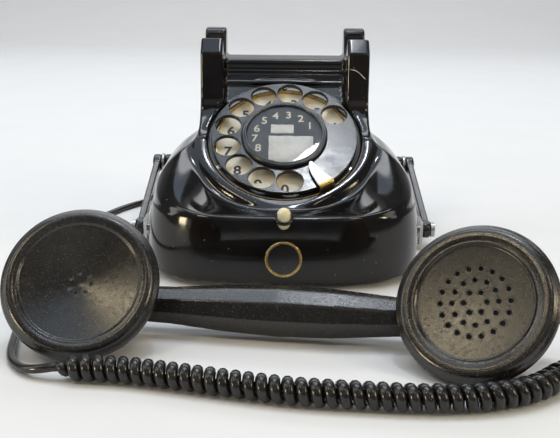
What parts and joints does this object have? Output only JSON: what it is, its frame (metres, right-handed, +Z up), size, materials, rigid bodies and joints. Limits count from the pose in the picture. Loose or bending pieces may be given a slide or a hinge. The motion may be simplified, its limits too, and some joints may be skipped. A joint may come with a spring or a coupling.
{
  "type": "vintage desk telephone",
  "caption": "Black desk telephone with a slanted rotary dial, cradle posts, a rear carrying bail and a lifted-off handset on a curly cord.",
  "frame": {"origin": "on the table, under the middle of the box round the telephone and the handset lying in front of it (the cord is left out of that box)", "axes": "+X to the right seen from the front, +Y away from the viewer towards the rear of the telephone, +Z up; the dial and the handset's caps face -Y"},
  "size_m": [0.2424, 0.2892, 0.1147],
  "materials": {
    "bakelite": "high-gloss moulded black phenolic, with fine scratches and dust",
    "handset_bakelite": "black phenolic with a fine speckled satin grain",
    "black_enamel": "satin-gloss black enamel",
    "nickel": "nickel-plated steel, slightly dulled",
    "steel_sheet": "grey painted sheet steel",
    "spring_steel": "blued spring steel",
    "brass": "aged brass",
    "ivory_plate": "ivory enamelled plate",
    "ivory_button": "cream moulded plastic",
    "card": "dark grey card with bare cream labels",
    "window": "clear thin window",
    "rubber": "black rubber",
    "winding": "lacquered copper winding",
    "wax_card": "waxed brown card",
    "tin_can": "tinned can",
    "terminal_board": "brown phenolic board",
    "cord": "black rubber-covered cord"
  },
  "bodies": {
    "phone": {"housing": "bakelite", "dial_surround": "bakelite", "cradle_posts": "bakelite", "cradle_bar": "bakelite", "base_plate": "steel_sheet", "rubber_feet": "rubber", "base_screws": "nickel", "badge_ring": "brass", "dial_case": "brass", "number_plate": "ivory_plate", "finger_stop": "nickel", "dial_screws": "nickel", "dial_bridge": "brass", "mainspring": "spring_steel", "pulse_contacts": "nickel", "button_collar": "bakelite", "button_spring": "spring_steel", "hook_springs": "spring_steel", "hook_bracket": "steel_sheet", "hook_contacts": "nickel", "left_gong": "nickel", "right_gong": "nickel", "gong_posts": "nickel", "ringer_frame": "steel_sheet", "ringer_coils": "winding", "induction_coil": "wax_card", "capacitor": "tin_can", "terminal_block": "terminal_board", "terminal_screws": "brass", "bail_brackets": "nickel", "bail_pivot_screws": "nickel", "cord_gland": "rubber", "line_grommet": "rubber", "tail_phone": "cord", "curly_cord": "cord", "tail_handset": "cord"},
    "dial": {"finger_wheel": "black_enamel", "dial_bezel": "black_enamel", "number_card": "card", "card_window": "window", "dial_shaft": "nickel", "main_gear": "brass"},
    "pinion": {"impulse_pinion": "nickel"},
    "governor_rotor": {"governor": "nickel"},
    "button": {"call_button": "ivory_button"},
    "hook": {"cradle_plungers": "bakelite", "hook_yoke": "nickel"},
    "lever": {"hook_lever": "brass"},
    "bail": {"bail_arms": "black_enamel", "bail_grip": "bakelite", "bail_collars": "nickel"},
    "ringer_clapper": {"clapper": "brass"},
    "handset": {"handset_grip": "handset_bakelite", "receiver_cap": "handset_bakelite", "transmitter_cap": "handset_bakelite", "receiver_capsule": "tin_can", "transmitter_capsule": "tin_can", "handset_gland": "rubber"}
  },
  "joints": [
    {"name": "dial_spin", "type": "hinge", "parent": "phone", "child": "dial", "pos_m": [0.0025, 0.0336, 0.064], "axis": [0, 0.6115, -0.7912], "range_deg": [0, 318], "stiffness_Nm_per_rad": 0.003, "springref_deg": -68.75},
    {"name": "pinion_spin", "type": "hinge", "parent": "phone", "child": "pinion", "pos_m": [0.0025, 0.05164, 0.07794], "axis": [0, 0.6115, -0.7912], "range_deg": [-2130, 0]},
    {"name": "governor_spin", "type": "hinge", "parent": "phone", "child": "governor_rotor", "pos_m": [0.01412, 0.04926, 0.07611], "axis": [0, 0.6115, -0.7912], "range_deg": [0, 6400]},
    {"name": "button_press", "type": "slide", "parent": "phone", "child": "button", "axis": [0, 0.6428, -0.766], "range_m": [0, 0.002], "stiffness_N_per_m": 900, "springref_m": -0.001},
    {"name": "hook_press", "type": "slide", "parent": "phone", "child": "hook", "axis": [0, 0, -1], "range_m": [0, 0.004], "stiffness_N_per_m": 300, "springref_m": -0.003, "deforming": ["hook_springs"]},
    {"name": "lever_turn", "type": "hinge", "parent": "phone", "child": "lever", "pos_m": [0.0025, 0.0897, 0.073], "axis": [1, 0, 0], "range_deg": [0, 20.5]},
    {"name": "bail_swing", "type": "hinge", "parent": "phone", "child": "bail", "pos_m": [0.0025, 0.0485, 0.01], "axis": [1, 0, 0], "range_deg": [0, 24]},
    {"name": "clapper_swing", "type": "hinge", "parent": "phone", "child": "ringer_clapper", "pos_m": [0.0025, 0.0485, 0.023], "axis": [0, 0, 1], "range_deg": [-2, 2]},
    {"name": "handset_lift", "type": "slide", "parent": "phone", "child": "handset", "axis": [0, 0, 1], "range_m": [0, 0.14]}
  ],
  "couplings": [
    {"joint": "pinion_spin", "follows": "dial_spin", "ratio": -6.6},
    {"joint": "governor_spin", "follows": "dial_spin", "ratio": 19.8},
    {"joint": "lever_turn", "follows": "hook_press", "rad_per_m": 82}
  ]
}
